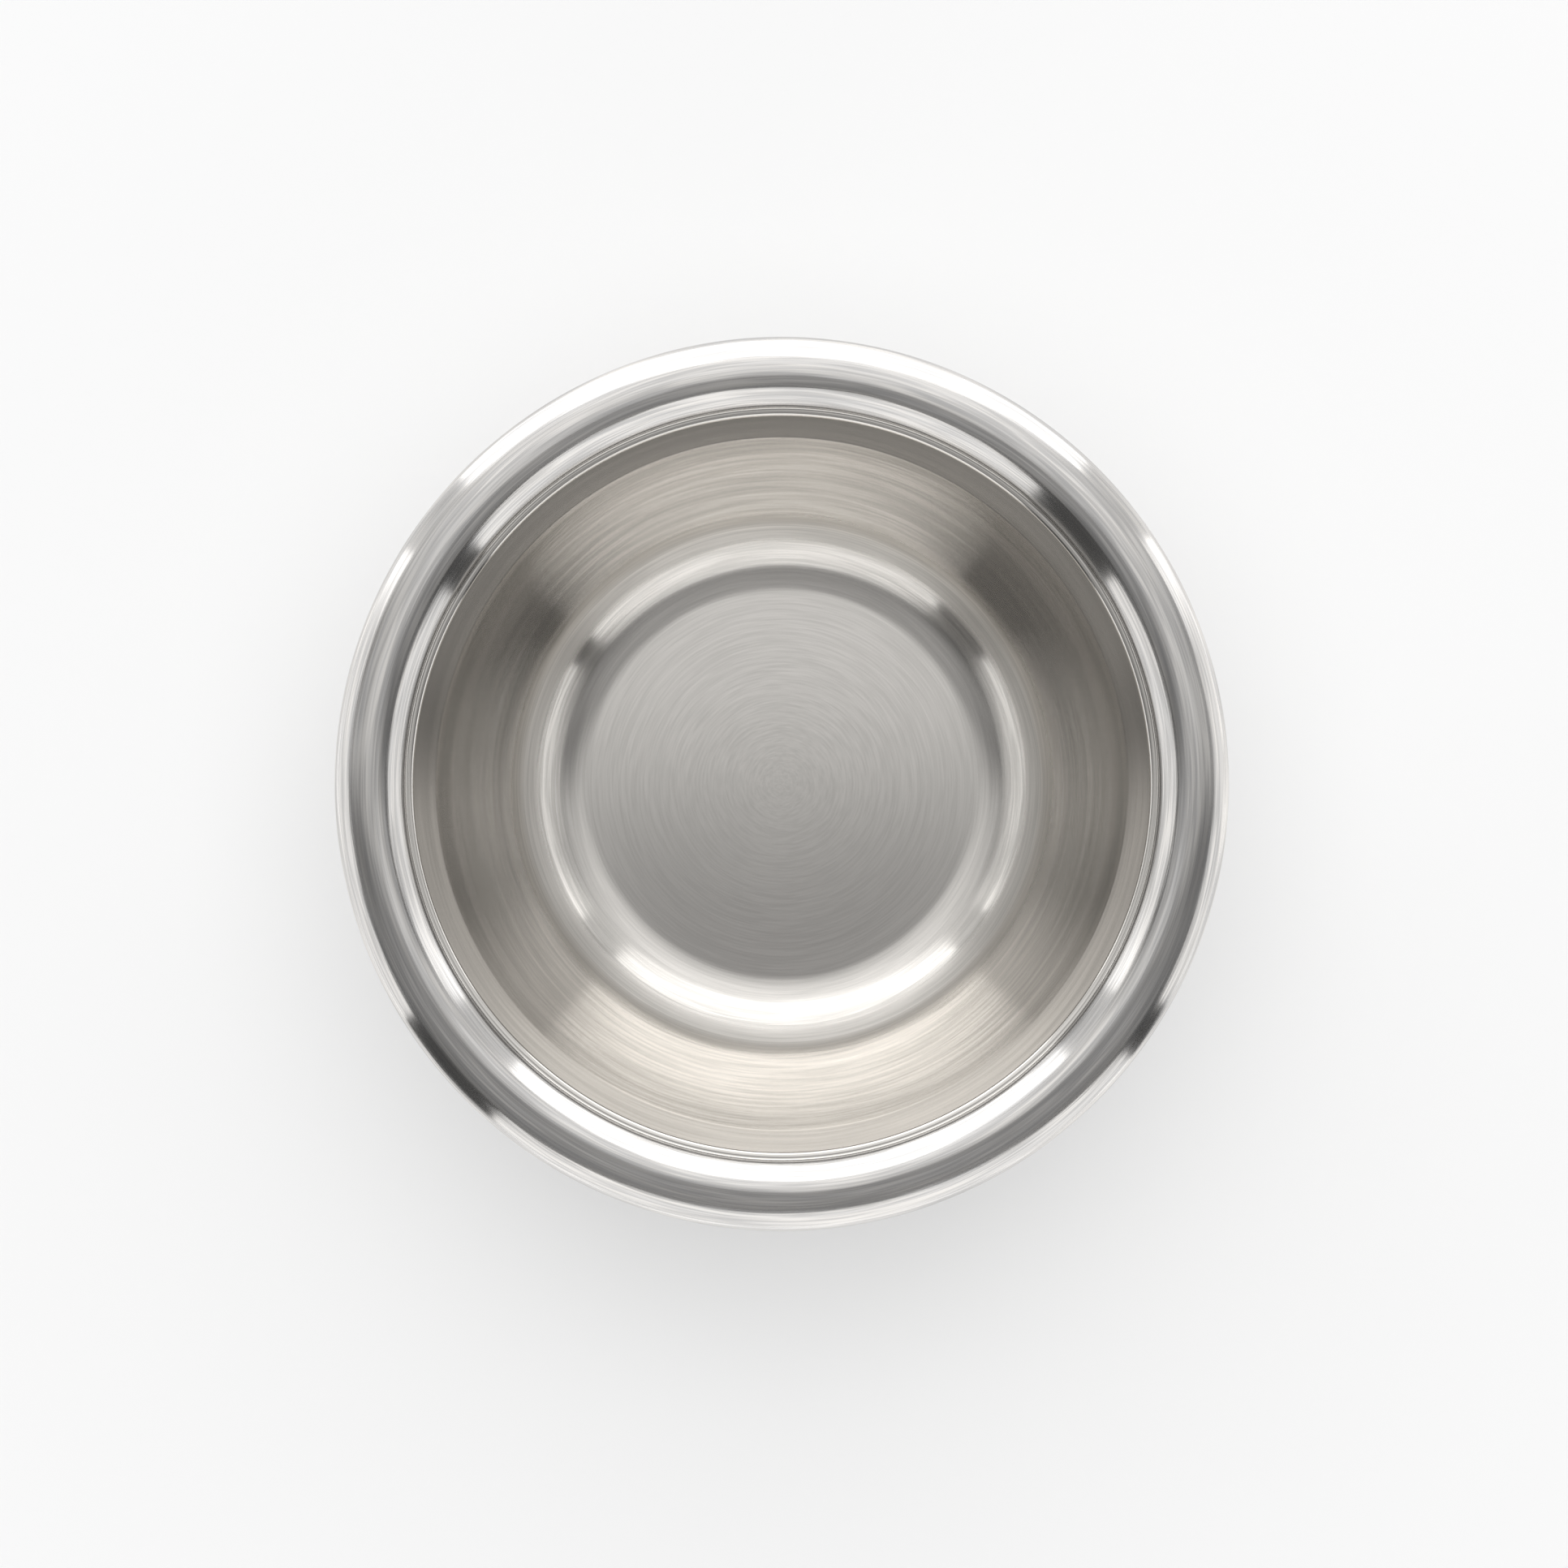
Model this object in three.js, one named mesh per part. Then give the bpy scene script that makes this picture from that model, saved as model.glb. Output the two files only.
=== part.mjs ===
// A double-walled stainless steel pet bowl that stands in a rubber foot ring.
// Every piece is turned about the Z axis. Millimetres, +Z up, standing on z = 0.
import * as THREE from "three";

const { degToRad } = THREE.MathUtils;
const quarterTurn = Math.PI / 2;

// Whole bowl
const rimDiameter = 160;
const bowlDepth = 48.5;
const sheet = 0.8;
const fitGap = 0.3;

// Rolled rim: a round bead with a flatter inner flank, falling away to a tight curl at its outer edge
const rimInnerArc = 4.6;
const rimInnerSlope = degToRad(32);
const flankArc = 12.9;
const flankSlope = degToRad(48);
const flankEdge = 1;
const rimOuterArc = 9.1;
const rimOuterSlope = degToRad(46);
const curlRadius = 1.6;
const curlReturn = degToRad(60);

// Pressed ledge just inside the bead
const ledgeRiser = 2;
const ledgeCrease = 0.5;
const ledgeFlat = 0.1;
const ledgeEdge = 1;

// Inside of the bowl: a faintly domed floor, a round corner, a flat shoulder, a belly that bends up
// into the sloping wall, and a steeper band at the wall's top
const floorDiameter = 73;
const floorDome = degToRad(2.5);
const floorCorner = 10;
const shoulderStart = degToRad(31);
const shoulderArc = 55;
const shoulderEnd = degToRad(39);
const bellyArc = 8;
const wallBend = 5;
const bandLength = 9.5;
const bandAngle = degToRad(72);
const floorAirGap = 1.3;

// Outer shell
const shellStandDiameter = 116;
const shellOpeningDiameter = 88;
const shellHeel = 9;
const shellCollar = 8;

// Base plate
const plateLap = 7;
const plateStep = 1.2;
const plateStepBend = 1.5;
const plateStepInset = 6;

// Foot ring
const ringSeat = 2.5;
const ringInset = 9;
const ringWrapShort = degToRad(8);
const ringLip = 1.2;
const ringFlare = degToRad(80);
const ringFootEdge = 0.8;
const treadGrooves = 2;
const treadWidth = 2;
const treadDepth = 0.8;

// Facets
const turnSegments = 56;
const chordError = 0.1;

// Finishes
const polishedSteel = { color: 0xc9c4bd, roughness: 0.22, metalness: 1 };
const brushedSteel = { color: 0xc4c0ba, roughness: 0.35, metalness: 1 };
const rubber = { color: 0x1d1d1e, roughness: 0.85, metalness: 0 };

// Heights, from the ground up through the stacked pieces
const shellUnderside = ringSeat + fitGap;
const plateUnderside = shellUnderside + sheet + fitGap;
const plateTop = plateUnderside + plateStep + sheet;
const floorHeight = plateTop + floorAirGap + sheet;
const rimHeight = floorHeight + bowlDepth;
const flankHeight = rimHeight - rimInnerArc * (1 - Math.cos(rimInnerSlope))
  - flankArc * (Math.cos(rimInnerSlope) - Math.cos(flankSlope));
const ledgeHeight = flankHeight - flankEdge * Math.cos(flankSlope) - ledgeRiser - ledgeCrease;

// Radii, from the rim inwards
const rimRadius = rimDiameter / 2;
const rimCrest = rimRadius - rimOuterArc * Math.sin(rimOuterSlope)
  - curlRadius * (1 - Math.sin(rimOuterSlope));
const riserRadius = rimCrest - rimInnerArc * Math.sin(rimInnerSlope)
  - flankArc * (Math.sin(flankSlope) - Math.sin(rimInnerSlope))
  - flankEdge * (1 - Math.sin(flankSlope));
const collarRadius = rimRadius - curlRadius * (1 + Math.sin(curlReturn)) - fitGap;
const shellStand = shellStandDiameter / 2;
const shellOpening = shellOpeningDiameter / 2;

// A pen that draws a profile in the radius and height plane. Left turns are positive.
class Profile {
  constructor(radius, height) {
    this.at = new THREE.Vector2(radius, height);
    this.heading = 0;
    this.stations = [];
    this.mark();
  }

  mark() {
    this.stations.push({ point: this.at.clone(), heading: this.heading });
  }

  step(length) {
    this.at.x += length * Math.cos(this.heading);
    this.at.y += length * Math.sin(this.heading);
    return this;
  }

  turn(angle) {
    this.heading += angle;
    return this;
  }

  line(length) {
    this.step(length).mark();
    return this;
  }

  arc(radius, angle) {
    const widest = 2 * Math.acos(1 - chordError / radius);
    const steps = Math.ceil(Math.abs(angle) / widest);
    const part = angle / steps;
    const chord = 2 * radius * Math.sin(Math.abs(part) / 2);
    for (let i = 0; i < steps; i++) {
      this.turn(part / 2).step(chord).turn(part / 2).mark();
    }
    return this;
  }

  // The centre of a left turn that would start here.
  turnCentre(radius) {
    return new THREE.Vector2(
      this.at.x - radius * Math.sin(this.heading),
      this.at.y + radius * Math.cos(this.heading),
    );
  }

  // The same run moved sideways, to the left of the pen's way.
  offset(distance) {
    return this.stations.map(({ point, heading }) => new THREE.Vector2(
      point.x - distance * Math.sin(heading),
      point.y + distance * Math.cos(heading),
    ));
  }

  // The closed outline of sheet metal that has this run as one face.
  sheetOutline(thickness) {
    return [...this.offset(0), ...this.offset(thickness).reverse()];
  }
}

// Two arcs that carry a level run up into a wall at topAngle, over the given run and rise.
// The first has the given radius, and the second takes up the rest.
function twoArcRise(firstRadius, topAngle, run, rise) {
  const runLeft = run - firstRadius * Math.sin(topAngle);
  const riseLeft = rise - firstRadius * (1 - Math.cos(topAngle));
  const joinAngle = 2 * Math.atan2(riseLeft, runLeft) - topAngle;
  const extraRadius = riseLeft / (Math.cos(joinAngle) - Math.cos(topAngle));
  return { joinAngle, secondRadius: firstRadius + extraRadius };
}

// The straight run that leaves one left-turning arc and enters a second, each given by centre and radius.
function tangentRun(firstCentre, firstRadius, secondCentre, secondRadius) {
  const reach = secondCentre.clone().sub(firstCentre);
  const lean = Math.asin((firstRadius - secondRadius) / reach.length());
  return { heading: reach.angle() + lean, length: reach.length() * Math.cos(lean) };
}

function shellRise() {
  const archCentre = rimHeight - rimOuterArc;
  const underArch = Math.sqrt((rimOuterArc - sheet) ** 2 - (collarRadius - rimCrest) ** 2);
  const topEdge = archCentre + underArch - fitGap;
  return twoArcRise(
    shellHeel,
    quarterTurn,
    collarRadius - shellStand,
    topEdge - shellUnderside - shellCollar,
  );
}

// Turns a closed outline about the Z axis. An outline that runs anticlockwise gives faces that point out.
function turnedPiece(name, outline, finish) {
  const runsClockwise = THREE.ShapeUtils.isClockWise(outline);
  const ordered = runsClockwise ? outline.toReversed() : outline;
  const closed = [...ordered, ordered[0].clone()];
  const geometry = new THREE.LatheGeometry(closed, turnSegments).rotateX(quarterTurn);
  const mesh = new THREE.Mesh(geometry, new THREE.MeshStandardMaterial(finish));
  mesh.name = name;
  return mesh;
}

// Drawn bowl: domed floor, corner, shoulder, belly, sloping wall, steep band and ledge.
// Above the ledge the bead is rolled over to its curl.
function innerBowl() {
  const floorRadius = floorDiameter / 2;
  const domeRadius = floorRadius / Math.sin(floorDome) - floorCorner;
  const domeRise = (domeRadius + floorCorner) * (1 - Math.cos(floorDome));
  const wallTop = riserRadius - ledgeCrease - ledgeFlat - ledgeEdge * Math.sin(bandAngle);
  const wallTopHeight = ledgeHeight - ledgeEdge * (1 - Math.cos(bandAngle));
  const bendCentre = new THREE.Vector2(
    wallTop - bandLength * Math.cos(bandAngle) - wallBend * Math.sin(bandAngle),
    wallTopHeight - bandLength * Math.sin(bandAngle) + wallBend * Math.cos(bandAngle),
  );
  const face = new Profile(0, floorHeight + domeRise)
    .arc(domeRadius, -floorDome)
    .arc(floorCorner, floorDome + shoulderStart)
    .arc(shoulderArc, shoulderEnd - shoulderStart);
  const wall = tangentRun(face.turnCentre(bellyArc), bellyArc, bendCentre, wallBend);
  face
    .arc(bellyArc, wall.heading - shoulderEnd)
    .line(wall.length)
    .arc(wallBend, bandAngle - wall.heading)
    .line(bandLength)
    .arc(ledgeEdge, -bandAngle)
    .line(ledgeFlat)
    .arc(ledgeCrease, quarterTurn)
    .line(ledgeRiser)
    .arc(flankEdge, flankSlope - quarterTurn)
    .arc(flankArc, rimInnerSlope - flankSlope)
    .arc(rimInnerArc, -rimInnerSlope)
    .arc(rimOuterArc, -rimOuterSlope)
    .arc(curlRadius, rimOuterSlope - Math.PI - curlReturn);
  return turnedPiece("inner_bowl", face.sheetOutline(-sheet), polishedSteel);
}

// Drawn outer wall: its bottom edge turns in under the bowl, and its collar stands up inside the rolled rim.
function outerShell() {
  const { joinAngle, secondRadius } = shellRise();
  const face = new Profile(shellOpening, shellUnderside)
    .line(shellStand - shellOpening)
    .arc(shellHeel, joinAngle)
    .arc(secondRadius, quarterTurn - joinAngle)
    .line(shellCollar);
  return turnedPiece("outer_shell", face.sheetOutline(sheet), brushedSteel);
}

// Pressed disc that closes the shell: a raised middle, and a flange lapped over the shell's turned-in edge.
function basePlate() {
  const bendAngle = Math.acos(1 - plateStep / (2 * plateStepBend));
  const bendRun = 2 * plateStepBend * Math.sin(bendAngle);
  const middle = shellOpening - plateStepInset - bendRun;
  const face = new Profile(0, plateUnderside + plateStep)
    .line(middle)
    .arc(plateStepBend, -bendAngle)
    .arc(plateStepBend, bendAngle)
    .line(plateStepInset + plateLap);
  return turnedPiece("base_plate", face.sheetOutline(sheet), brushedSteel);
}

// Moulded ring: a pad under the shell, a lip that wraps its heel, and a tread of round grooves.
function footRing() {
  const inside = shellStand - ringInset;
  const wrapAngle = shellRise().joinAngle - ringWrapShort;
  const section = new Profile(inside, ringSeat)
    .line(ringInset)
    .arc(shellHeel + fitGap, wrapAngle)
    .arc(ringLip, -wrapAngle - ringFlare);
  const sideDrop = section.at.y - ringFootEdge * (1 + Math.cos(ringFlare));
  section
    .line(sideDrop / Math.sin(ringFlare))
    .arc(ringFootEdge, ringFlare - Math.PI);
  const land = (section.at.x - inside - treadGrooves * treadWidth) / (treadGrooves + 1);
  for (let i = 0; i < treadGrooves; i++) {
    section
      .line(land)
      .turn(-quarterTurn)
      .line(treadDepth)
      .turn(quarterTurn)
      .line(treadWidth)
      .turn(quarterTurn)
      .line(treadDepth)
      .turn(-quarterTurn);
  }
  section.line(land);
  return turnedPiece("foot_ring", section.offset(0), rubber);
}

const bowl = new THREE.Group();
bowl.add(innerBowl(), outerShell(), basePlate(), footRing());

export default bowl;
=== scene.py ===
"""The looks of a double-walled steel pet bowl in its rubber foot ring. Metres, +Z up."""
import math

import bmesh
import bpy
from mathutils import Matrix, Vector


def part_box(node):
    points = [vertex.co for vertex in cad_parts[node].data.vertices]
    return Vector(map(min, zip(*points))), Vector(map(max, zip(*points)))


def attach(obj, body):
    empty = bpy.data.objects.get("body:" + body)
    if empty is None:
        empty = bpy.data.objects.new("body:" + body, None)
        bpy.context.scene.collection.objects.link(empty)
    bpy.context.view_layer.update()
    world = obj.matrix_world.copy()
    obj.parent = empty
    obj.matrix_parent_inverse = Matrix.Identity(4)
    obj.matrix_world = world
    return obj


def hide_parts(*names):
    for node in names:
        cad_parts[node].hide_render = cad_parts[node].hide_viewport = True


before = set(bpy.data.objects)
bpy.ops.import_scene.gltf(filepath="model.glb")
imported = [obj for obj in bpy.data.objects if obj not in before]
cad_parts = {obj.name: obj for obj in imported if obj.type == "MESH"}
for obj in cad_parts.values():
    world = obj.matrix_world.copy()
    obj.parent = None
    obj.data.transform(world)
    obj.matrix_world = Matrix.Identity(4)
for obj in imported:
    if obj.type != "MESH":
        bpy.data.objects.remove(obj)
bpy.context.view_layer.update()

MM = 0.001
QUARTER = math.pi / 2

# Sheet metal
SHEET = 0.8 * MM
FIT_GAP = 0.3 * MM

# Rolled rim
RIM_INNER_ARC = 4.6 * MM
RIM_INNER_SLOPE = math.radians(32)
FLANK_ARC = 12.9 * MM
FLANK_SLOPE = math.radians(48)
FLANK_EDGE = 1 * MM
RIM_OUTER_ARC = 9.1 * MM
RIM_OUTER_SLOPE = math.radians(46)
CURL_RADIUS = 1.6 * MM
CURL_RETURN = math.radians(60)

# Pressed ledge inside the rim
LEDGE_RISER = 2 * MM
LEDGE_CREASE = 0.5 * MM
LEDGE_FLAT = 0.1 * MM
LEDGE_EDGE = 1 * MM

# Inside of the bowl
FLOOR_RADIUS = 36.5 * MM
FLOOR_DOME = math.radians(2.5)
FLOOR_CORNER = 10 * MM
SHOULDER_START = math.radians(31)
SHOULDER_ARC = 55 * MM
SHOULDER_END = math.radians(39)
BELLY_ARC = 8 * MM
WALL_BEND = 5 * MM
BAND_LENGTH = 9.5 * MM
BAND_ANGLE = math.radians(72)

# Outer shell and base plate
SHELL_STAND = 58 * MM
SHELL_OPENING = 44 * MM
SHELL_HEEL = 9 * MM
SHELL_COLLAR = 8 * MM
PLATE_STEP = 1.2 * MM
PLATE_STEP_BEND = 1.5 * MM
PLATE_STEP_INSET = 6 * MM

# Foot ring
RING_INSET = 9 * MM
RING_WRAP_SHORT = math.radians(8)
RING_LIP = 1.2 * MM
RING_FLARE = math.radians(80)
RING_FOOT_EDGE = 0.8 * MM
RING_INNER_EDGE = 0.3 * MM
TREAD_GROOVES = 2
TREAD_WIDTH = 2 * MM
TREAD_DEPTH = 0.8 * MM

# Fineness of the meshes
TURN_STEPS = 240
ARC_STEP = math.radians(3.2)
ARC_STEPS_LEAST = 6
WELD_DISTANCE = 0.001 * MM

# Zones of the bowl's finish, and of the painted shade at the bend into the steep band, by distance from the
# axis: where each starts, is full, begins to fade and ends
CORNER_ZONE = (35.5 * MM, 38 * MM, 42.5 * MM, 45 * MM)
BELLY_ZONE = (44.6 * MM, 46.6 * MM, 49 * MM, 52 * MM)
LOW_BEND_ZONE = (46.5 * MM, 47.5 * MM, 49.5 * MM, 51 * MM)
HIGH_BEND_SHADE_ZONE = (60 * MM, 61.2 * MM, 61.8 * MM, 63 * MM)

# Where the floor's finish ends and the wall's is full, by distance from the axis
FLOOR_FINISH_END = 36 * MM
WALL_FINISH_FULL = 45 * MM

# Painted shade in the crease at the rim's foot, outwards from the ledge's riser, and the bowl's finish,
# inwards from it
CREASE_SHADE_START = 0.1 * MM
CREASE_SHADE_END = 0.4 * MM
BOWL_FINISH_INSET = 0.1 * MM

# Brush lines: how much height counts on the wall, the turn of their shine and the part of the noise they show
WALL_RISE = 0.3
BRUSH_TURN = 0.25
NOISE_LOW = 0.34
NOISE_HIGH = 0.66
LEAST_RADIUS_SQUARED = 1e-9

# Colours of the finishes
RIM_TONES = ((0.72, 0.707, 0.693, 1), (0.85, 0.825, 0.793, 1))
RIM_DARK = (0.31, 0.31, 0.315, 1)
BOWL_TONES = ((0.82, 0.791, 0.754, 1), (0.87, 0.839, 0.8, 1))
BOWL_DARK = (0.3, 0.3, 0.275, 1)
SHELL_TONES = ((0.63, 0.62, 0.6, 1), (0.69, 0.67, 0.635, 1))
SHELL_DARK = (0.36, 0.36, 0.36, 1)
RUBBER_TONES = ((0.014, 0.014, 0.015, 1), (0.028, 0.028, 0.029, 1))

# Grain of the rubber
GRAIN_SCALE = 2600.0
GRAIN_DEPTH = 0.05 * MM
DUST_SCALE = 60.0


class Pen:
    """Draws a profile in the XZ plane for a turned piece. Left turns are positive."""

    def __init__(self, radius, height):
        self.mesh = bmesh.new()
        self.tip = self.mesh.verts.new((radius, 0, height))
        self.heading = 0.0

    def turn(self, angle):
        self.heading += angle
        return self

    def line(self, length):
        way = Vector((math.cos(self.heading), 0, math.sin(self.heading)))
        drawn = bmesh.ops.extrude_vert_indiv(self.mesh, verts=[self.tip])
        self.tip = drawn["verts"][0]
        bmesh.ops.translate(self.mesh, verts=[self.tip], vec=way * length)
        return self

    def turn_centre(self, radius):
        """The centre of a turn that would start here, to the left for a positive radius."""
        return self.tip.co + Vector((-math.sin(self.heading), 0, math.cos(self.heading))) * radius

    def arc(self, radius, angle):
        centre = self.turn_centre(math.copysign(radius, angle))
        steps = max(ARC_STEPS_LEAST, math.ceil(abs(angle) / ARC_STEP))
        drawn = bmesh.ops.spin(
            self.mesh, geom=[self.tip], cent=centre, axis=(0, -1, 0), angle=angle, steps=steps)
        self.tip = next(part for part in drawn["geom_last"] if isinstance(part, bmesh.types.BMVert))
        self.heading += angle
        return self

    def close(self, start):
        self.mesh.edges.new((self.tip, start))
        return self

    def spun(self, up_faces=None):
        """Turns the profile about Z. An open one's face nearest the axis points up if up_faces, else down."""
        profile = self.mesh.verts[:] + self.mesh.edges[:]
        bmesh.ops.spin(
            self.mesh, geom=profile, cent=(0, 0, 0), axis=(0, 0, 1), angle=math.tau,
            steps=TURN_STEPS, use_merge=True)
        bmesh.ops.remove_doubles(self.mesh, verts=self.mesh.verts, dist=WELD_DISTANCE)
        bmesh.ops.recalc_face_normals(self.mesh, faces=self.mesh.faces)
        self.mesh.normal_update()
        nearest = min(self.mesh.faces, key=lambda face: face.calc_center_median().xy.length)
        if up_faces is not None and (nearest.normal.z > 0) != up_faces:
            bmesh.ops.reverse_faces(self.mesh, faces=self.mesh.faces)
        return self.mesh


def two_arc_rise(first_radius, top_angle, run, rise):
    """The join angle and second radius of two arcs that carry a level run up to top_angle."""
    run_left = run - first_radius * math.sin(top_angle)
    rise_left = rise - first_radius * (1 - math.cos(top_angle))
    join_angle = 2 * math.atan2(rise_left, run_left) - top_angle
    extra = rise_left / (math.cos(join_angle) - math.cos(top_angle))
    return join_angle, first_radius + extra


def tangent_run(first_centre, first_radius, second_centre, second_radius):
    """The heading and length of the straight run from one left-turning arc into a second."""
    reach = second_centre - first_centre
    lean = math.asin((first_radius - second_radius) / reach.length)
    return math.atan2(reach.z, reach.x) + lean, reach.length * math.cos(lean)


def piece_from(mesh, name, node, body, materials):
    """Makes a finished mesh the visible piece that stands for a node."""
    data = bpy.data.meshes.new(name)
    mesh.to_mesh(data)
    mesh.free()
    data.shade_smooth()
    for material in materials:
        data.materials.append(material)
    piece = bpy.data.objects.new(name, data)
    bpy.context.scene.collection.objects.link(piece)
    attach(piece, body)
    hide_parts(node)
    return piece


def give_thickness(piece):
    wall = piece.modifiers.new("sheet", "SOLIDIFY")
    wall.thickness = SHEET
    wall.offset = -1
    wall.use_even_offset = True


class Field:
    """A value in a node tree. An expression of fields and numbers adds Math nodes."""

    def __init__(self, finish, socket):
        self.finish = finish
        self.socket = socket

    def math(self, operation, *values):
        return self.finish.node("ShaderNodeMath", {"operation": operation}, dict(enumerate(values)))

    def __add__(self, other):
        return self.math("ADD", self, other)

    def __sub__(self, other):
        return self.math("SUBTRACT", self, other)

    def __rsub__(self, other):
        return self.math("SUBTRACT", other, self)

    def __mul__(self, other):
        return self.math("MULTIPLY", self, other)

    def __truediv__(self, other):
        return self.math("DIVIDE", self, other)

    def __pow__(self, other):
        return self.math("POWER", self, other)

    __radd__ = __add__
    __rmul__ = __mul__


class Finish:
    """A node tree and the one way to add a node to it."""

    def __init__(self, tree):
        self.tree = tree
        tree.nodes.clear()

    def node(self, kind, settings, sockets, output=0):
        made = self.tree.nodes.new(kind)
        for name, value in settings.items():
            setattr(made, name, value)
        for name, value in sockets.items():
            if isinstance(value, Field):
                self.tree.links.new(value.socket, made.inputs[name])
            else:
                made.inputs[name].default_value = value
        return Field(self, made.outputs[output]) if made.outputs else None

    def smooth_step(self, value, low, high):
        return self.node(
            "ShaderNodeMapRange", {"interpolation_type": "SMOOTHSTEP"},
            {"Value": value, "From Min": low, "From Max": high, "To Min": 0.0, "To Max": 1.0})

    def zone(self, value, start, full, fade, end):
        """Rises from 0 at start to 1 at full, and falls from fade back to 0 at end."""
        return self.smooth_step(value, start, full) * (1 - self.smooth_step(value, fade, end))

    def mix(self, factor, first, second):
        return self.node(
            "ShaderNodeMix", {"data_type": "RGBA"}, {0: factor, 6: first, 7: second}, output=2)

    def place(self):
        """Object coordinates as x, y, z and the distance from the axis."""
        point = self.node("ShaderNodeTexCoord", {}, {}, "Object")
        x, y, z = (
            self.node("ShaderNodeSeparateXYZ", {}, {"Vector": point}, axis) for axis in "XYZ")
        return x, y, z, (x * x + y * y + LEAST_RADIUS_SQUARED) ** 0.5

    def from_axis(self):
        return self.place()[3]

    def brush_lines(self, width, sweep, detail, rise=1.0):
        """Lines that run round the axis, stretched to full contrast. Each fades out along its way, sooner
        the greater the sweep, and with no sweep it closes to a ring. A small rise widens them on steep
        walls."""
        x, y, z, radius = self.place()
        vector = self.node(
            "ShaderNodeCombineXYZ", {},
            {"X": radius / width, "Y": z / width * rise, "Z": x / radius * sweep})
        noise = self.node(
            "ShaderNodeTexNoise", {"noise_dimensions": "4D"},
            {"Vector": vector, "W": y / radius * sweep, "Scale": 1.0, "Detail": detail, "Roughness": 0.6},
            "Fac")
        return self.smooth_step(noise, NOISE_LOW, NOISE_HIGH)

    def metal(self, colour, roughness, anisotropy, relief, depth):
        """A metal surface brushed round the axis, with a relief from 0 to 1 of the given depth."""
        bump = self.node(
            "ShaderNodeBump", {}, {"Strength": 1.0, "Distance": depth, "Height": relief})
        shader = self.node(
            "ShaderNodeBsdfPrincipled", {},
            {
                "Base Color": colour,
                "Metallic": 1.0,
                "Roughness": roughness,
                "Anisotropic": anisotropy,
                "Anisotropic Rotation": BRUSH_TURN,
                "Normal": bump,
            })
        self.node("ShaderNodeOutputMaterial", {}, {"Surface": shader})


def new_material(name):
    material = bpy.data.materials.new(name)
    material.use_nodes = True
    return material, Finish(material.node_tree)


def polished_rim():
    """Bright steel with fine polishing streaks, some of them cool and dark, and painted shade darkening the
    crease at its foot.
    """
    material, finish = new_material("polished_rim")
    radius = finish.from_axis()
    hairs = finish.brush_lines(width=0.42 * MM, sweep=4.5, detail=1.0)
    streaks = finish.brush_lines(width=0.8 * MM, sweep=3.0, detail=2.0)
    # Painted shade: the colour is darkened towards the crease at the rim's foot.
    crease_shade = 1 - finish.smooth_step(radius, rim_riser + CREASE_SHADE_START, rim_riser + CREASE_SHADE_END)
    tone = finish.mix(streaks, *RIM_TONES)
    finish.metal(
        finish.mix(hairs * 0.4 + crease_shade * 0.5, tone, RIM_DARK),
        roughness=0.12 + 0.05 * hairs, anisotropy=0.7,
        relief=hairs * 0.4 + streaks * 0.6, depth=0.006 * MM)
    return material


def satin_bowl():
    """Satin steel with soft streaks, rings and bands, strongest on the wall, and fine scratches, strongest on
    the floor. The corner and the belly are duller. A few spun lines mark the bend from the belly into the
    wall, and a line of painted shade darkens the bend into the steep band."""
    material, finish = new_material("satin_bowl")
    radius = finish.from_axis()
    streaks = finish.brush_lines(width=0.45 * MM, sweep=3.0, detail=2.0, rise=WALL_RISE)
    rings = finish.brush_lines(width=0.9 * MM, sweep=0.5, detail=2.0, rise=WALL_RISE)
    bands = finish.brush_lines(width=3 * MM, sweep=0.8, detail=1.0, rise=WALL_RISE)
    scratches = finish.brush_lines(width=0.36 * MM, sweep=3.5, detail=1.0)
    wall = finish.smooth_step(radius, FLOOR_FINISH_END, WALL_FINISH_FULL)
    corner = finish.zone(radius, *CORNER_ZONE)
    belly = finish.zone(radius, *BELLY_ZONE)
    low_bend = finish.zone(radius, *LOW_BEND_ZONE)
    # Painted shade: a darker line at the bend into the steep band.
    high_bend_shade = finish.zone(radius, *HIGH_BEND_SHADE_ZONE)
    spun = finish.brush_lines(width=0.32 * MM, sweep=0.0, detail=0.0) * low_bend
    tone = finish.mix(wall, *BOWL_TONES)
    # The bowl's own marks, together with the painted shade line at the bend into the steep band.
    marks_and_bend_shade = streaks * (0.07 + 0.06 * wall) + rings * (0.03 + 0.09 * wall) + bands * 0.14 * wall \
        + scratches * (0.11 - 0.08 * wall) + spun * 0.12 + high_bend_shade * 0.14
    finish.metal(
        finish.mix(marks_and_bend_shade, tone, BOWL_DARK),
        roughness=0.12 + 0.04 * streaks + 0.07 * corner + 0.2 * belly, anisotropy=0.62,
        relief=(streaks * 0.4 + rings * 0.4) * (0.2 + 0.8 * wall) + spun * 0.2, depth=0.005 * MM)
    return material


def brushed_shell():
    """Steel brushed round the axis."""
    material, finish = new_material("brushed_shell")
    hairs = finish.brush_lines(width=0.2 * MM, sweep=6.0, detail=2.0)
    streaks = finish.brush_lines(width=0.8 * MM, sweep=2.5, detail=2.0)
    tone = finish.mix(streaks, *SHELL_TONES)
    finish.metal(
        finish.mix(hairs * 0.25, tone, SHELL_DARK),
        roughness=0.27 + 0.08 * hairs, anisotropy=0.7,
        relief=hairs * 0.5 + streaks * 0.5, depth=0.006 * MM)
    return material


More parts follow.
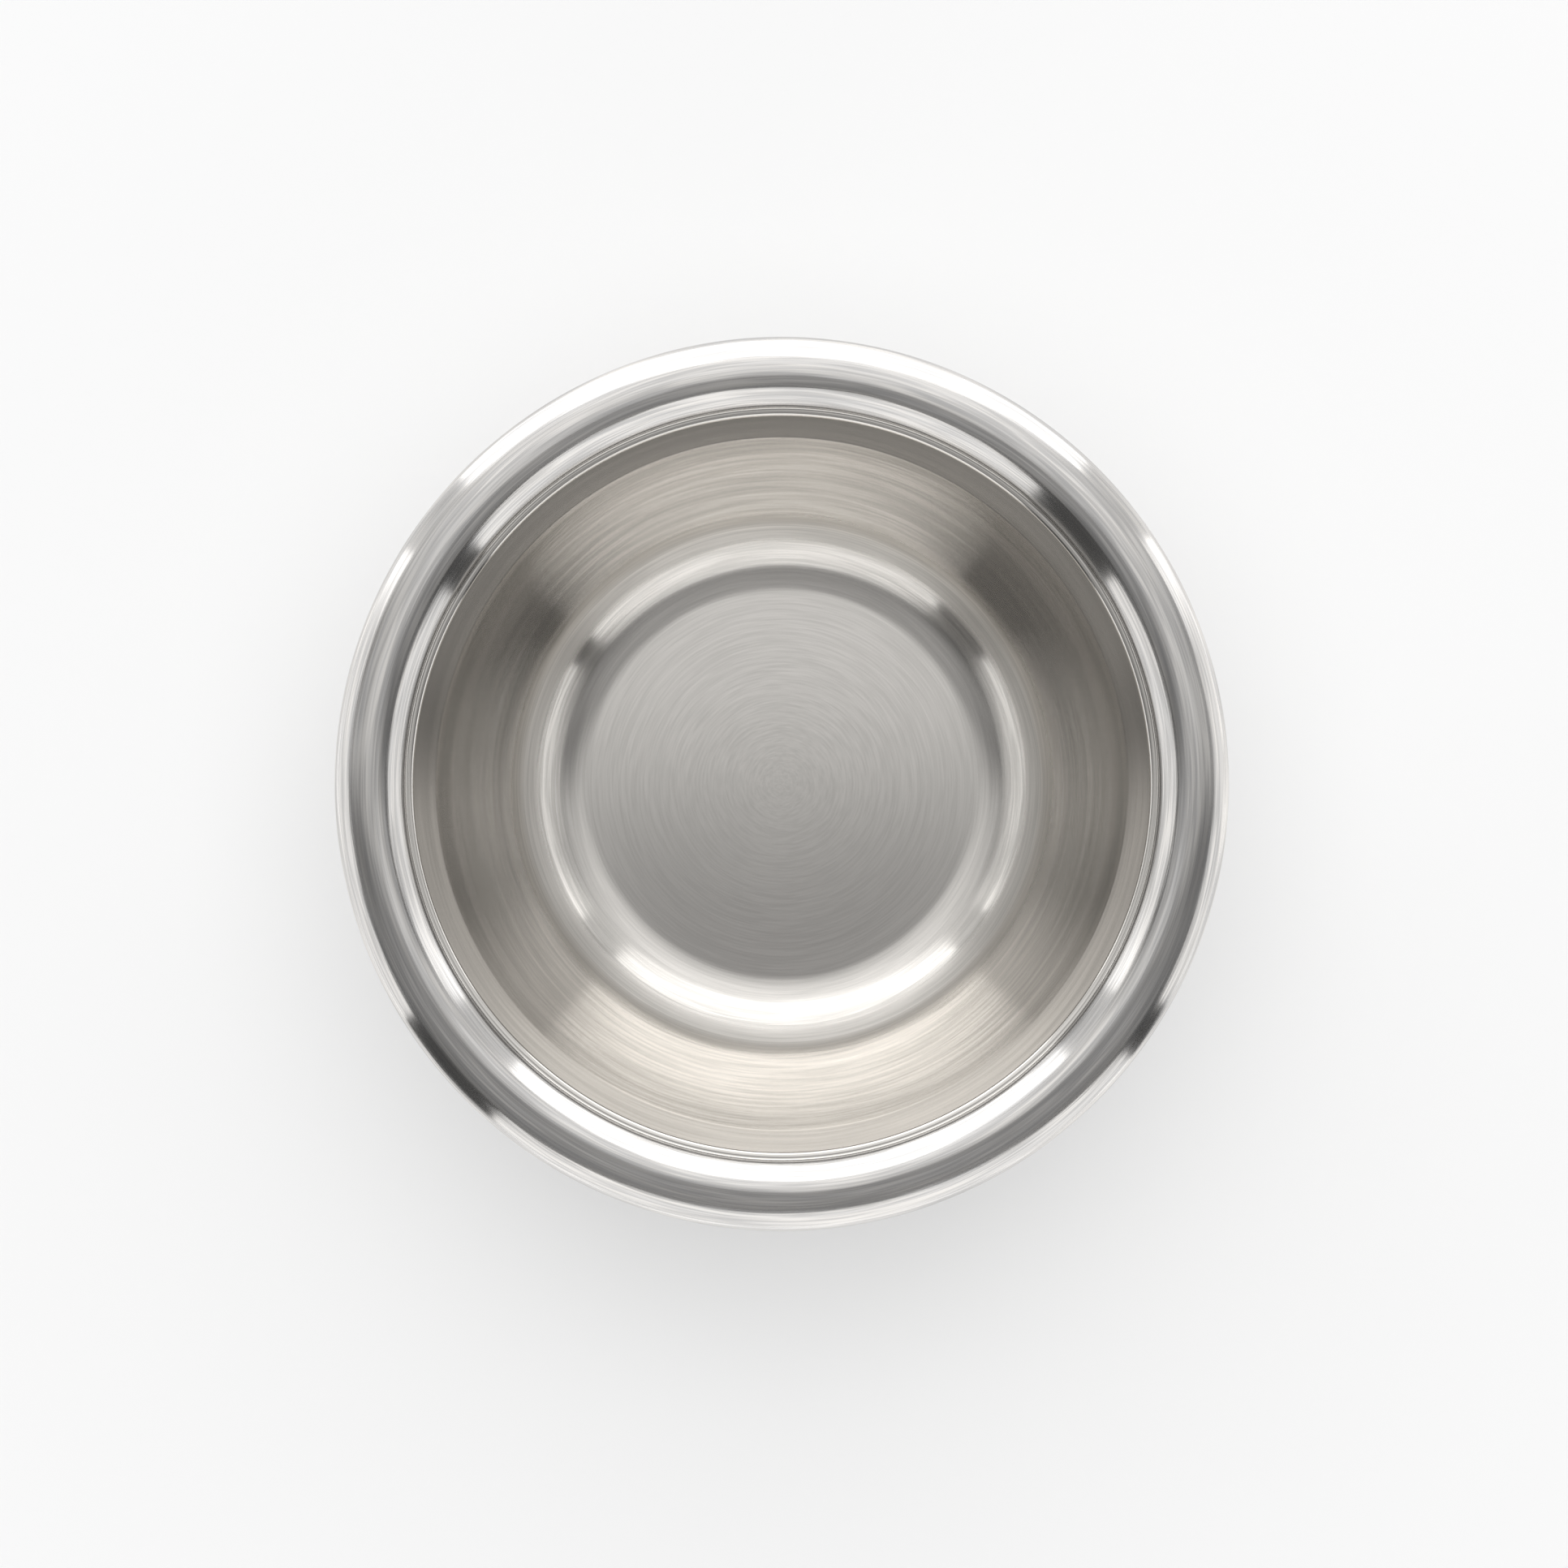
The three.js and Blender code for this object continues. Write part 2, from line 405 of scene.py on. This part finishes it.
def ring_rubber():
    """Matt black rubber with a fine moulded grain."""
    material, finish = new_material("ring_rubber")
    point = finish.node("ShaderNodeTexCoord", {}, {}, "Object")
    grain = finish.node(
        "ShaderNodeTexNoise", {}, {"Vector": point, "Scale": GRAIN_SCALE, "Detail": 3.0}, "Fac")
    dust = finish.node(
        "ShaderNodeTexNoise", {}, {"Vector": point, "Scale": DUST_SCALE, "Detail": 5.0}, "Fac")
    bump = finish.node(
        "ShaderNodeBump", {}, {"Strength": 0.5, "Distance": GRAIN_DEPTH, "Height": grain})
    shader = finish.node(
        "ShaderNodeBsdfPrincipled", {},
        {
            "Base Color": finish.mix(dust, *RUBBER_TONES),
            "Roughness": 0.62 + 0.2 * grain,
            "Normal": bump,
        })
    finish.node("ShaderNodeOutputMaterial", {}, {"Surface": shader})
    return material


# Sizes that come from the frame
rim_low, rim_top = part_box("inner_bowl")
shell_low, shell_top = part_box("outer_shell")
plate_low, plate_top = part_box("base_plate")
rim_radius = rim_top[0]
rim_height = rim_top[2]
floor_height = rim_low[2] + SHEET
rim_crest = rim_radius - RIM_OUTER_ARC * math.sin(RIM_OUTER_SLOPE) \
    - CURL_RADIUS * (1 - math.sin(RIM_OUTER_SLOPE))
rim_riser = rim_crest - RIM_INNER_ARC * math.sin(RIM_INNER_SLOPE) \
    - FLANK_ARC * (math.sin(FLANK_SLOPE) - math.sin(RIM_INNER_SLOPE)) \
    - FLANK_EDGE * (1 - math.sin(FLANK_SLOPE))
flank_height = rim_height - RIM_INNER_ARC * (1 - math.cos(RIM_INNER_SLOPE)) \
    - FLANK_ARC * (math.cos(RIM_INNER_SLOPE) - math.cos(FLANK_SLOPE))
ledge_height = flank_height - FLANK_EDGE * math.cos(FLANK_SLOPE) - LEDGE_RISER - LEDGE_CREASE
shell_join, shell_belly = two_arc_rise(
    SHELL_HEEL, QUARTER, shell_top[0] - SHELL_STAND, shell_top[2] - shell_low[2] - SHELL_COLLAR)

rim_steel = polished_rim()
bowl_steel = satin_bowl()
shell_steel = brushed_shell()
rubber = ring_rubber()


def inner_bowl():
    """One drawn sheet: domed floor, corner, shoulder, belly, wall, steep band, ledge, bead and curl."""
    dome_radius = FLOOR_RADIUS / math.sin(FLOOR_DOME) - FLOOR_CORNER
    dome_rise = (dome_radius + FLOOR_CORNER) * (1 - math.cos(FLOOR_DOME))
    wall_top = rim_riser - LEDGE_CREASE - LEDGE_FLAT - LEDGE_EDGE * math.sin(BAND_ANGLE)
    wall_top_height = ledge_height - LEDGE_EDGE * (1 - math.cos(BAND_ANGLE))
    bend_centre = Vector((
        wall_top - BAND_LENGTH * math.cos(BAND_ANGLE) - WALL_BEND * math.sin(BAND_ANGLE), 0,
        wall_top_height - BAND_LENGTH * math.sin(BAND_ANGLE) + WALL_BEND * math.cos(BAND_ANGLE)))
    pen = Pen(0, floor_height + dome_rise)
    pen.arc(dome_radius, -FLOOR_DOME)
    pen.arc(FLOOR_CORNER, FLOOR_DOME + SHOULDER_START)
    pen.arc(SHOULDER_ARC, SHOULDER_END - SHOULDER_START)
    wall_angle, wall_length = tangent_run(pen.turn_centre(BELLY_ARC), BELLY_ARC, bend_centre, WALL_BEND)
    pen.arc(BELLY_ARC, wall_angle - SHOULDER_END)
    pen.line(wall_length)
    pen.arc(WALL_BEND, BAND_ANGLE - wall_angle)
    pen.line(BAND_LENGTH)
    pen.arc(LEDGE_EDGE, -BAND_ANGLE)
    pen.line(LEDGE_FLAT)
    pen.arc(LEDGE_CREASE, QUARTER)
    pen.line(LEDGE_RISER)
    pen.arc(FLANK_EDGE, FLANK_SLOPE - QUARTER)
    pen.arc(FLANK_ARC, RIM_INNER_SLOPE - FLANK_SLOPE)
    pen.arc(RIM_INNER_ARC, -RIM_INNER_SLOPE)
    pen.arc(RIM_OUTER_ARC, -RIM_OUTER_SLOPE)
    pen.arc(CURL_RADIUS, RIM_OUTER_SLOPE - math.pi - CURL_RETURN)
    mesh = pen.spun(up_faces=True)
    for face in mesh.faces:
        face.material_index = int(face.calc_center_median().xy.length < rim_riser - BOWL_FINISH_INSET)
    piece = piece_from(
        mesh, "bowl_steel", "inner_bowl", "bowl", [rim_steel, bowl_steel])
    give_thickness(piece)


def outer_shell():
    """Turned-in foot, heel, belly and collar."""
    stand_run = SHELL_STAND - SHELL_OPENING
    pen = Pen(SHELL_OPENING, shell_low[2])
    pen.line(stand_run)
    pen.arc(SHELL_HEEL, shell_join)
    pen.arc(shell_belly, QUARTER - shell_join)
    pen.line(SHELL_COLLAR)
    mesh = pen.spun(up_faces=False)
    piece = piece_from(mesh, "shell_steel", "outer_shell", "bowl", [shell_steel])
    give_thickness(piece)


def base_plate():
    """Raised middle, round step and lapped flange."""
    bend = math.acos(1 - PLATE_STEP / (2 * PLATE_STEP_BEND))
    middle = SHELL_OPENING - PLATE_STEP_INSET - 2 * PLATE_STEP_BEND * math.sin(bend)
    flange = plate_top[0] - SHELL_OPENING + PLATE_STEP_INSET
    pen = Pen(0, plate_low[2] + PLATE_STEP)
    pen.line(middle)
    pen.arc(PLATE_STEP_BEND, -bend)
    pen.arc(PLATE_STEP_BEND, bend)
    pen.line(flange)
    mesh = pen.spun(up_faces=False)
    piece = piece_from(mesh, "base_steel", "base_plate", "bowl", [shell_steel])
    give_thickness(piece)


def foot_ring():
    """Pad, lip round the shell's heel, flared side and grooved tread."""
    inside = SHELL_STAND - RING_INSET
    seat = shell_low[2] - FIT_GAP
    wrap = shell_join - RING_WRAP_SHORT
    pen = Pen(inside + RING_INNER_EDGE, seat)
    start = pen.tip
    pen.line(RING_INSET - RING_INNER_EDGE)
    pen.arc(SHELL_HEEL + FIT_GAP, wrap)
    pen.arc(RING_LIP, -wrap - RING_FLARE)
    side_drop = pen.tip.co.z - RING_FOOT_EDGE * (1 + math.cos(RING_FLARE))
    pen.line(side_drop / math.sin(RING_FLARE))
    pen.arc(RING_FOOT_EDGE, RING_FLARE - math.pi)
    tread = pen.tip.co.x - inside
    land = (tread - TREAD_GROOVES * TREAD_WIDTH) / (TREAD_GROOVES + 1)
    for _ in range(TREAD_GROOVES):
        pen.line(land).turn(-QUARTER).line(TREAD_DEPTH).turn(QUARTER).line(TREAD_WIDTH)
        pen.turn(QUARTER).line(TREAD_DEPTH).turn(-QUARTER)
    pen.line(land - RING_INNER_EDGE)
    pen.arc(RING_INNER_EDGE, -QUARTER)
    pen.line(seat - 2 * RING_INNER_EDGE)
    pen.arc(RING_INNER_EDGE, -QUARTER)
    pen.close(start)
    mesh = pen.spun()
    piece_from(mesh, "ring_rubber", "foot_ring", "ring", [rubber])


inner_bowl()
outer_shell()
base_plate()
foot_ring()

# Studio: a pale floor, four white panels round the bowl with gaps between them, soft sky and overhead lamp
FLOOR_SIZE = 8.0
FLOOR_WHITE = (0.95, 0.95, 0.95, 1)
FLOOR_GLOW = (0.93, 0.93, 0.93, 1)
FLOOR_GLOW_SHARE = 0.3
SIDE_PANEL = {"distance": 1.05, "width": 1.31, "height": 0.66, "radiance": 0.92}
FRONT_PANEL = {"azimuth": 275.5, "distance": 1.0, "width": 2.1, "height": 0.84}
TRIM_HEIGHT = 0.12
TRIM_BLACK = (0.02, 0.02, 0.02, 1)
OVERHEAD_PLACE = (0, 0.4, 2.5)

# The ceiling's brightness at the front, and its changes towards the back: how much, from where and to where
CEILING_FRONT = 0.22
CEILING_CHANGES = ((0.17, -0.9, -0.25), (-0.1, -0.25, -0.13), (0.44, -0.11, 0.1), (0.32, 0.1, 0.5))

# Camera
SENSOR_WIDTH = 36
CAMERA_DISTANCE = 0.9
EYE_SHIFT = 0.4 * MM
RIM_DROP = 4 * MM
PHOTO_WIDTH = 1932
RIM_PIXELS = 551


def stage_sheet(name, width, height):
    """A flat sheet about the origin, with the material of its name."""
    mesh = bmesh.new()
    bmesh.ops.create_grid(mesh, x_segments=1, y_segments=1, size=0.5)
    bmesh.ops.scale(mesh, verts=mesh.verts, vec=(width, height, 1))
    data = bpy.data.meshes.new(name)
    mesh.to_mesh(data)
    mesh.free()
    material, finish = new_material(name)
    data.materials.append(material)
    sheet = bpy.data.objects.new(name, data)
    bpy.context.scene.collection.objects.link(sheet)
    return sheet, finish


def ground():
    """A white matt floor, partly as bright as plain white to the eye and in the mirror images."""
    sheet, finish = stage_sheet("ground", FLOOR_SIZE, FLOOR_SIZE)
    seen = finish.node("ShaderNodeLightPath", {}, {}, "Is Camera Ray") \
        + finish.node("ShaderNodeLightPath", {}, {}, "Is Glossy Ray") \
        + finish.node("ShaderNodeLightPath", {}, {}, "Is Transmission Ray")
    matt = finish.node("ShaderNodeBsdfDiffuse", {}, {"Color": FLOOR_WHITE})
    plain = finish.node("ShaderNodeEmission", {}, {"Color": FLOOR_GLOW})
    shader = finish.node("ShaderNodeMixShader", {}, {0: FLOOR_GLOW_SHARE * seen, 1: matt, 2: plain})
    finish.node("ShaderNodeOutputMaterial", {}, {"Surface": shader})


def lamp(name, width, height, radiance):
    """A flat rectangular lamp about the origin, out of the camera's sight."""
    data = bpy.data.lights.new(name, "AREA")
    data.shape = "RECTANGLE"
    data.size = width
    data.size_y = height
    data.energy = radiance * width * height * math.pi
    item = bpy.data.objects.new(name, data)
    item.visible_camera = False
    bpy.context.scene.collection.objects.link(item)
    return item


def stand_up(item, azimuth, distance, height):
    """Stands a sheet or a lamp upright, facing the bowl."""
    bearing = math.radians(azimuth)
    item.location = (distance * math.cos(bearing), distance * math.sin(bearing), height)
    item.rotation_euler = (QUARTER, 0, bearing + QUARTER)


def panel(name, azimuth, distance, width, height, radiance):
    """A white upright panel that stands on the floor."""
    stand_up(lamp(name, width, height, radiance), azimuth, distance, height / 2)


def trim(name, azimuth, distance, width, height):
    """The dark strip along a panel's top edge."""
    sheet, finish = stage_sheet(name, width, TRIM_HEIGHT)
    shader = finish.node("ShaderNodeBsdfDiffuse", {}, {"Color": TRIM_BLACK})
    finish.node("ShaderNodeOutputMaterial", {}, {"Surface": shader})
    sheet.visible_camera = False
    stand_up(sheet, azimuth, distance, height + TRIM_HEIGHT / 2)


def sky():
    """Soft light from above, stronger on the +Y side, over a surround that is dark but for its +Y side."""
    world = bpy.data.worlds.new("studio")
    world.use_nodes = True
    bpy.context.scene.world = world
    finish = Finish(world.node_tree)
    way = finish.node("ShaderNodeTexCoord", {}, {}, "Generated")
    side, across, up = (
        finish.node("ShaderNodeSeparateXYZ", {}, {"Vector": way}, axis) for axis in "XYZ")
    ceiling = CEILING_FRONT
    for change, start, end in CEILING_CHANGES:
        ceiling = ceiling + change * finish.smooth_step(across, start, end)
    dim = finish.smooth_step(side * side, 0.1, 0.3)
    surround = 0.07 + 0.65 * finish.smooth_step(across, 0.25, 0.55)
    above = finish.smooth_step(up, 0.56, 0.62)
    strength = surround + (ceiling * (1 - 0.3 * dim) - surround) * above
    shader = finish.node("ShaderNodeBackground", {}, {"Color": (1, 1, 1, 1), "Strength": strength})
    finish.node("ShaderNodeOutputWorld", {}, {"Surface": shader})


def camera():
    lens = bpy.data.cameras.new("camera")
    frame_width = PHOTO_WIDTH * rim_radius / RIM_PIXELS
    lens.sensor_width = SENSOR_WIDTH
    lens.lens = SENSOR_WIDTH * (CAMERA_DISTANCE + RIM_DROP) / frame_width
    eye = bpy.data.objects.new("camera", lens)
    eye.location = (EYE_SHIFT, 0, rim_height + CAMERA_DISTANCE)
    bpy.context.scene.collection.objects.link(eye)
    bpy.context.scene.camera = eye


ground()
panel("panel_back", azimuth=91.5, distance=1.0, width=2.0, height=0.9, radiance=1.05)
panel("panel_left", azimuth=180, **SIDE_PANEL)
panel("panel_front", **FRONT_PANEL, radiance=1.02)
panel("panel_right", azimuth=2, **SIDE_PANEL)
trim("trim_front", **FRONT_PANEL)
overhead = lamp("overhead", width=3, height=3, radiance=0.92)
overhead.location = OVERHEAD_PLACE
overhead.visible_glossy = False
sky()
camera()
bpy.context.scene.view_settings.view_transform = "Standard"
